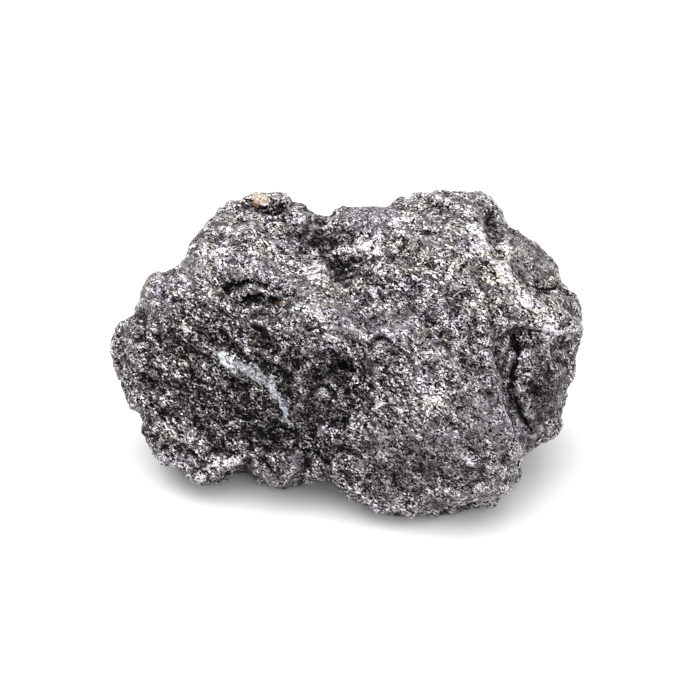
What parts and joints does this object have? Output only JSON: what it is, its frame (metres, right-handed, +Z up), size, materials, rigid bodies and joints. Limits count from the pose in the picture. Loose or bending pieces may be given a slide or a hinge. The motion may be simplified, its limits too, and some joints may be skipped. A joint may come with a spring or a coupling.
{
  "type": "graphite specimen",
  "caption": "Rough hand specimen of flake graphite: a broken, hackly stone with a broad show face, a recessed lobe at one end and a flat base to lie on.",
  "frame": {"origin": "centre of the bounding box's bottom face, on the surface the stone lies on", "axes": "+X along the stone's longest dimension, -Y towards the viewer of the show face, +Z up"},
  "size_m": [0.0594, 0.0396, 0.0325],
  "materials": {
    "graphite": "rough broken surface of small shiny flakes, dark grey with a metallic glint"
  },
  "bodies": {
    "root": {"graphite_stone": "graphite"}
  },
  "joints": []
}
